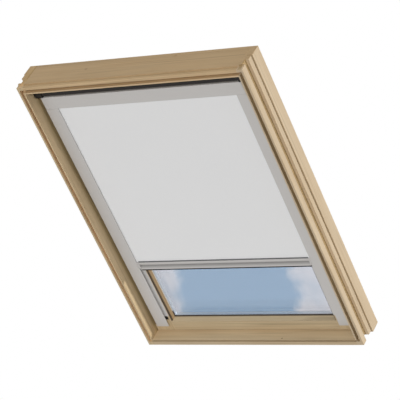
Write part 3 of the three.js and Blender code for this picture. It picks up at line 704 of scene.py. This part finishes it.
# The sill: painted shade in its groove, on its front below the groove, and on its top towards the sash
sillPaintedShade = [
    paintedLightOnWood((0.55, 0.49, 0.42), 0.3, z=(sillTop - 6.3, sillTop - 1.3), y=(room + 0.4, room + 21)),
    paintedLightOnWood((0.84, 0.84, 0.86), 0.6, z=(-beyond, sillTop - 6.2), y=(-beyond, room + 21)),
    paintedLightOnWood((0.88, 0.80, 0.72), 6, z=(sillTop - 0.6, sillTop + 0.6), y=(room + 37, beyond)),
]
headKnots = [
    {"at": (-0.159, -0.0186, cadHigh.z), "size": 4 * mm, "stretch": (1.4, 1, 1), "strength": 0.35},
    {"at": (0.12, 0.01, cadHigh.z), "size": 3 * mm, "stretch": (1.8, 1, 1), "strength": 0.25},
]
sillKnots = [
    {"at": (0.1026, -0.0735, sillTop * mm), "size": 2.4 * mm, "stretch": (1.2, 1, 1), "strength": 0.75},
]

# Timber: which way the grain runs, each heart (across, deep) and a tone that also paints light and shade
timber = {
    "frame_left": {"grain": "z", "heart": (-0.31, 0.06), "tone": (0.99, 0.96, 0.93), "paintedLightAndShade": leftPaintedLight},
    "frame_right": {"grain": "z", "heart": (0.30, 0.05), "tone": (0.98, 0.98, 1.06), "paintedLightAndShade": rightPaintedShade},
    "frame_top": {
        "grain": "x",
        "heart": (0.05, 0.90),
        "tone": (0.87, 0.78, 0.70),
        "knots": headKnots,
        "paintedLightAndShade": headPaintedLight,
    },
    "frame_bottom": {
        "grain": "x",
        "heart": (-0.16, 0.06),
        "tone": (1.10, 1.08, 1.09),
        "knots": sillKnots,
        "paintedLightAndShade": sillPaintedShade,
    },
    "sash_left": {"grain": "z", "heart": (-0.36, 0.08), "tone": (0.96, 0.95, 0.95), "paintedLightAndShade": stilePaintedShade},
    "sash_right": {"grain": "z", "heart": (0.37, 0.07), "tone": (0.96, 0.95, 0.95), "paintedLightAndShade": stilePaintedShade},
    "sash_top": {"grain": "x", "heart": (0.07, 1.02), "tone": (0.98, 0.95, 0.92)},
    "sash_bottom": {"grain": "x", "heart": (-0.14, 0.13), "tone": (0.96, 0.96, 0.98)},
}
timberArris = {"frame": 0.6 * mm, "sash": 0.25 * mm}
for node, look in timber.items():
    pine = pineFinish(f"pine_{node}", **look)
    softened(node, "timber", pine, timberArris[node.split("_")[0]])
print("timber dressed")

alongX = aluminiumFinish("silver_aluminium_across", railMetal, "x")
alongZ = aluminiumFinish("silver_aluminium_upright", railMetal, "z")
coverAcross = aluminiumFinish("grey_cladding_across", coverMetal, "x")
coverUpright = aluminiumFinish("grey_cladding_upright", coverMetal, "z")
spacerMetal = spacerFinish("bright_spacer", spacerLook)
steel = steelFinish("zinc_steel", steelLook)
blackPlastic, greyPlastic, rubber, brownRubber = [
    mouldedFinish(name, **look) for name, look in mouldings.items()
]
glazingRubber = gasketFinish("glazing_rubber", gasketLook)
innerGlass = glassFinish("inner_glass", glassLook, False)
outerGlass = glassFinish("outer_glass", glassLook, True)
cloth = fabricFinish("blackout_cloth", fabricLook)
beech = pineFinish("beech_dowel", grain="x", heart=(0, 0), tone=(0.9, 0.86, 0.82))

# Each piece's finish, slot and arris radius in millimetres; a star stands for a left and a right piece
metalwork = {
    "cassette_shell": (alongX, "blind_aluminium", 0.9),
    "side_rail_*": (alongZ, "blind_aluminium", 0.6),
    "fabric_clamp": (coverAcross, "cover_aluminium", 0.2),
    "spacer_frame": (spacerMetal, "blind_aluminium", 0.4),
    "glazing_bead_*": (coverUpright, "cover_aluminium", 0.6),
    "glazing_bead_top": (coverAcross, "cover_aluminium", 0.6),
    "glazing_bead_bottom": (coverAcross, "cover_aluminium", 0.6),
    "vent_bar": (blackPlastic, "black_plastic", 0.6),
    "vent_block_*": (blackPlastic, "black_plastic", 1),
    "cassette_end_left": (greyPlastic, "grey_plastic", 1.1),
    "cassette_end_right": (greyPlastic, "grey_plastic", 0.25),  # a larger radius meets the idle plug
    "bar_end_*": (greyPlastic, "grey_plastic", 0.5),
    "rail_end_plug_*": (blackPlastic, "black_plastic", 0.4),
    "rail_seal_*": (brownRubber, "rubber", 0.4),
    "bar_seal": (rubber, "rubber", 0.8),
    "inner_gasket": (glazingRubber, "rubber", 0.6),
    "outer_gasket": (rubber, "rubber", 0.4),
    "inner_pane": (innerGlass, "glass", 0.4),
    "outer_pane": (outerGlass, "glass", 0.4),
    "pivot_plate_*": (steel, "steel", 0.4),
    "hinge_leaf_*": (steel, "steel", 0.4),
    "striker_plate": (steel, "steel", 0.4),
    "top_catch": (steel, "steel", 0.3),
}
# Turned and sawn pieces
hardware = {
    "cassette_screw_*": (steel, "steel", 0.25),
    "rail_screw_*_low": (steel, "steel", 0.25),
    "rail_screw_*_high": (steel, "steel", 0.25),
    "pivot_pin_*": (steel, "steel", 0.5),
    "spring_core": (steel, "steel", 0.3),
    "roller_tube": (alongX, "blind_aluminium", 0.3),
    "idle_plug": (greyPlastic, "grey_plastic", 0.3),
    "drive_plug": (greyPlastic, "grey_plastic", 0.3),
    **{f"corner_dowel_{number}": (beech, "dowel_wood", 0.6) for number in range(1, 5)},
}


def dressPieces(pieces, ending):
    for name, (finish, slot, radius) in pieces.items():
        for side in ("left", "right") if "*" in name else ("",):
            softened(name.replace("*", side), ending, finish, radius * mm)


dressPieces(metalwork, "finished")
print("metalwork and glazing dressed")
dressPieces(hardware, "turned")
print("hardware dressed")


# A finished shape becomes a piece of the scene
def newPiece(name, shape, finish):
    mesh = bpy.data.meshes.new(name)
    shape.to_mesh(mesh)
    shape.free()
    mesh.materials.append(finish)
    piece = bpy.data.objects.new(name, mesh)
    bpy.context.scene.collection.objects.link(piece)
    return piece


# The cloth: the sheet that shows, the length that follows it when the bar comes down, the strip on the
# bar and the turns on the roller. Here the sheet goes with the sash, the strip with the bar and the turns
# with the roller, while the spare length is laid where it hangs and is tied to none of them.
clothLook = {
    "columns": 24,
    "rows": 24,
    "raisedShare": 0.0463,
    "stripRows": 4,
    "barReach": 45 * mm,
    "stripStandOff": 0.15 * mm,
    "spareRows": 60,
    "spareHalf": 289.4 * mm,
    "spareLow": 325 * mm,
    "spareHigh": 860 * mm,
    "spareDepths": (2.5 * mm, 1.1 * mm, 0.15 * mm),
    "spareBends": (400 * mm, 440 * mm, 700 * mm),
    "stillAbove": 1.021,
    "movesBelow": 0.174,
    "turns": 5,
    "turnPieces": 40,
    "firstTurn": 0.08,
}


# A sheet of cloth across the window, given as (depth, height) pairs along it
def clothSheet(name, width, line):
    columns = clothLook["columns"]
    shape = bmesh.new()
    rows = [
        [shape.verts.new((width * (column / columns - 0.5), depth, height)) for column in range(columns + 1)]
        for depth, height in line
    ]
    for under, over in zip(rows, rows[1:]):
        for column in range(columns):
            face = shape.faces.new((under[column], under[column + 1], over[column + 1], over[column]))
            face.smooth = True
    piece = newPiece(name, shape, cloth)
    return piece


def spread(start, end, count):
    return [start + (end - start) * step / count for step in range(count + 1)]


def eased(value, low, high):
    share = min(max((value - low) / (high - low), 0), 1)
    return share * share * (3 - 2 * share)


# How far behind the main sheet the spare length lies, at one height
def spareDepth(height):
    behindBar, middle, inSlot = clothLook["spareDepths"]
    first, second, third = clothLook["spareBends"]
    upper = middle + (inSlot - middle) * eased(height, second, third)
    return behindBar + (upper - behindBar) * eased(height, first, second)


def hangCloth(look):
    low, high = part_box("blind_fabric")
    depth, back = (low.y + high.y) / 2, high.y
    width, length = high.x - low.x, high.z - low.z
    main = clothSheet("blackout_sheet", width, [(depth, z) for z in spread(low.z, high.z, look["rows"])])
    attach(main, "sash")
    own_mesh(main)
    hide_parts("blind_fabric")
    heights = spread(look["spareLow"], look["spareHigh"], look["spareRows"])
    spare = clothSheet("blackout_spare", look["spareHalf"] * 2, [(back + spareDepth(z), z) for z in heights])
    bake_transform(spare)
    heights = spread(low.z, low.z + look["barReach"], look["stripRows"])
    strip = clothSheet("blackout_strip", width, [(back + look["stripStandOff"], z) for z in heights])
    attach(strip, "blind_bar")
    wound = windCloth(look)


# The turns on the roller: one spiral from the tube out to where the cloth leaves it
def windCloth(look):
    low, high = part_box("fabric_roll")
    tubeLow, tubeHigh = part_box("roller_tube")
    middle = ((low.y + high.y) / 2, (low.z + high.z) / 2)
    outer, inner = (high.z - low.z) / 2, (tubeHigh.z - tubeLow.z) / 2
    count = look["turns"] * look["turnPieces"]
    line = []
    for step in range(count + 1):
        share = step / count
        radius = inner + (outer - inner) * (look["firstTurn"] + (1 - look["firstTurn"]) * share)
        angle = math.pi + (share - 1) * look["turns"] * math.tau
        line.append((middle[0] + math.cos(angle) * radius, middle[1] + math.sin(angle) * radius))
    wound = clothSheet("blackout_turns", high.x - low.x, line)
    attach(wound, "roller")
    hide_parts("fabric_roll")
    return wound


hangCloth(clothLook)
print("cloth hung")


# The bottom bar: a pressed section whose front rolls in to a finger grip and comes out again at its foot.
# The grip's start, deepest place and end and the bands of painted shade in it are drops from the bar's top.
barLook = {
    "gripStart": 4 * mm,
    "gripDeepest": 14.5 * mm,
    "gripEnd": 22.6 * mm,
    "gripDepth": 4.6 * mm,
    "roll": 1.4,
    "steps": 12,
    "arris": 0.9 * mm,
    "arrisSegments": 3,
    "arrisSharp": 60,
    "creaseSharp": 40,
    "gripShade": 0.5,
    "shadedBands": ((7 * mm, 13 * mm), (15 * mm, 25 * mm)),
}


def gripDepth(look, drop):
    if drop <= look["gripStart"] or drop >= look["gripEnd"]:
        return 0
    if drop <= look["gripDeepest"]:
        share = (drop - look["gripStart"]) / (look["gripDeepest"] - look["gripStart"])
        return look["gripDepth"] * share ** look["roll"]
    return look["gripDepth"] * (1 - eased(drop, look["gripDeepest"], look["gripEnd"]))


def barFinish(name, look, top):
    material, paint = newPaint(name)
    point = paint.place()
    drawn = drawnLines(paint, point, "x")
    drop = top - point[2]
    inward, outward = look["shadedBands"]
    # Painted shade in the grip's hollow
    grip = paint.smooth(drop, *inward) * (1 - paint.smooth(drop, *outward))
    tone = ((drawn - 0.5) * metalLook["drawnShare"] + 1) * (1 - grip * (1 - look["gripShade"]))
    dressMetal(paint, railMetal, tone, drawn)
    return material


def pressBar(look):
    low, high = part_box("bottom_bar")
    drops = [0]
    drops += spread(look["gripStart"], look["gripDeepest"], look["steps"])
    drops += spread(look["gripDeepest"], look["gripEnd"], look["steps"])[1:]
    drops += [high.z - low.z]
    outline = [(low.y + gripDepth(look, drop), high.z - drop) for drop in drops]
    outline += [(high.y, low.z), (high.y, high.z)]
    shape = bmesh.new()
    left, right = [
        [shape.verts.new((across, depth, height)) for depth, height in outline] for across in (low.x, high.x)
    ]
    for index in range(len(outline)):
        after = (index + 1) % len(outline)
        shape.faces.new((left[index], left[after], right[after], right[index])).smooth = True
    shape.faces.new(left)
    shape.faces.new(reversed(right))
    bmesh.ops.recalc_face_normals(shape, faces=shape.faces)
    piece = newPiece("bottom_bar_pressed", shape, barFinish("grip_aluminium", look, high.z))
    piece.data.set_sharp_from_angle(angle=math.radians(look["creaseSharp"]))
    roundArrises(piece, look["arris"], look["arrisSegments"], look["arrisSharp"])
    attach(piece, "blind_bar")
    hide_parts("bottom_bar")


pressBar(barLook)
print("bar pressed")


# The return spring: close turns of wire from end to end
springLook = {"turns": 46, "turnPieces": 14, "wireSides": 8, "wireShare": 0.36}


def coilSpring(look):
    low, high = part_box("return_spring")
    coreLow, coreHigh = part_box("spring_core")
    middle = Vector((0, (low.y + high.y) / 2, (low.z + high.z) / 2))
    outer = (high.z - low.z) / 2
    wire = (outer - (coreHigh.z - coreLow.z) / 2) * look["wireShare"]
    radius = outer - wire
    shape = bmesh.new()
    count = look["turns"] * look["turnPieces"]
    hoops = []
    for step in range(count + 1):
        share = step / count
        angle = share * look["turns"] * math.tau
        out = Vector((0, math.cos(angle), math.sin(angle)))
        across = low.x + wire + (high.x - low.x - wire * 2) * share
        centre = middle + out * radius + Vector((across, 0, 0))
        hoop = []
        for side in range(look["wireSides"]):
            turn = side / look["wireSides"] * math.tau
            forward = Vector((wire * math.sin(turn), 0, 0))
            hoop.append(shape.verts.new(centre + out * (wire * math.cos(turn)) + forward))
        hoops.append(hoop)
    for first, second in zip(hoops, hoops[1:]):
        for side in range(look["wireSides"]):
            after = (side + 1) % look["wireSides"]
            face = shape.faces.new((first[side], first[after], second[after], second[side]))
            face.smooth = True
    shape.faces.new(reversed(hoops[0]))
    shape.faces.new(hoops[-1])
    bmesh.ops.recalc_face_normals(shape, faces=shape.faces)
    piece = newPiece("return_coil", shape, steel)
    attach(piece, "roller")
    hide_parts("return_spring")


coilSpring(springLook)
print("spring wound")


# Light: a white surround that the camera, metal and glass see, and a plain level on the object.
# A lamp's travel is the way its light goes, and its angle is how wide it looks in degrees.
lightLook = {
    "surround": 0.24,
    "key": {"strength": 1.9, "travel": (-0.911, -0.351, -0.219), "angle": 2, "colour": (1, 0.99, 0.99)},
    "side": {"strength": 0.15, "travel": (-0.97, -0.02, -0.24), "angle": 12, "colour": (0.98, 0.99, 1)},
    "fill": {"strength": 1.68, "travel": (-0.33, 0.74, -0.585), "angle": 14, "colour": (1, 1, 1)},
    "floor": (0.8, 0.8, 0.8, 1),
    "floorDrop": 1.2,
    "floorHalf": 9,
}


def lampSun(name, look):
    data = bpy.data.lights.new(name, "SUN")
    data.energy = look["strength"]
    data.angle = math.radians(look["angle"])
    data.color = look["colour"]
    lamp = bpy.data.objects.new(name, data)
    lamp.rotation_mode = "QUATERNION"
    lamp.rotation_quaternion = Vector(look["travel"]).to_track_quat("-Z", "Y")
    bpy.context.scene.collection.objects.link(lamp)


def seenAsWhite(paint):
    path = paint.make("ShaderNodeLightPath")
    outputs = path.socket.node.outputs
    seen = Flow(paint, outputs["Is Camera Ray"]) + Flow(paint, outputs["Is Glossy Ray"])
    return paint.math("MINIMUM", seen + Flow(paint, outputs["Is Transmission Ray"]), 1)


def lightWorld(look):
    world = bpy.data.worlds.new("studio")
    bpy.context.scene.world = world
    world.use_nodes = True
    paint = Paint(world.node_tree)
    strength = look["surround"] + seenAsWhite(paint) * (1 - look["surround"])
    light = paint.make("ShaderNodeBackground", None, {"Color": (1, 1, 1, 1), "Strength": strength})
    paint.make("ShaderNodeOutputWorld", None, {"Surface": light})


def layFloor(look):
    material, paint = newPaint("pale_floor")
    matt = paint.make("ShaderNodeBsdfDiffuse", None, {"Color": look["floor"]})
    white = paint.make("ShaderNodeEmission", None, {"Color": (1, 1, 1, 1), "Strength": 1})
    paint.surface(paint.mixShader(seenAsWhite(paint), matt, white))
    half = look["floorHalf"]
    mesh = bpy.data.meshes.new("floor")
    corners = [(-half, -half, 0), (half, -half, 0), (half, half, 0), (-half, half, 0)]
    mesh.from_pydata(corners, [], [(0, 1, 2, 3)])
    mesh.materials.append(material)
    floor = bpy.data.objects.new("floor", mesh)
    floor.location = (0, 0, cadLow.z - look["floorDrop"])
    bpy.context.scene.collection.objects.link(floor)


lightWorld(lightLook)
for name in ("key", "side", "fill"):
    lampSun(name, lightLook[name])
layFloor(lightLook)
bpy.context.scene.view_settings.view_transform = "Standard"
print("studio lit")
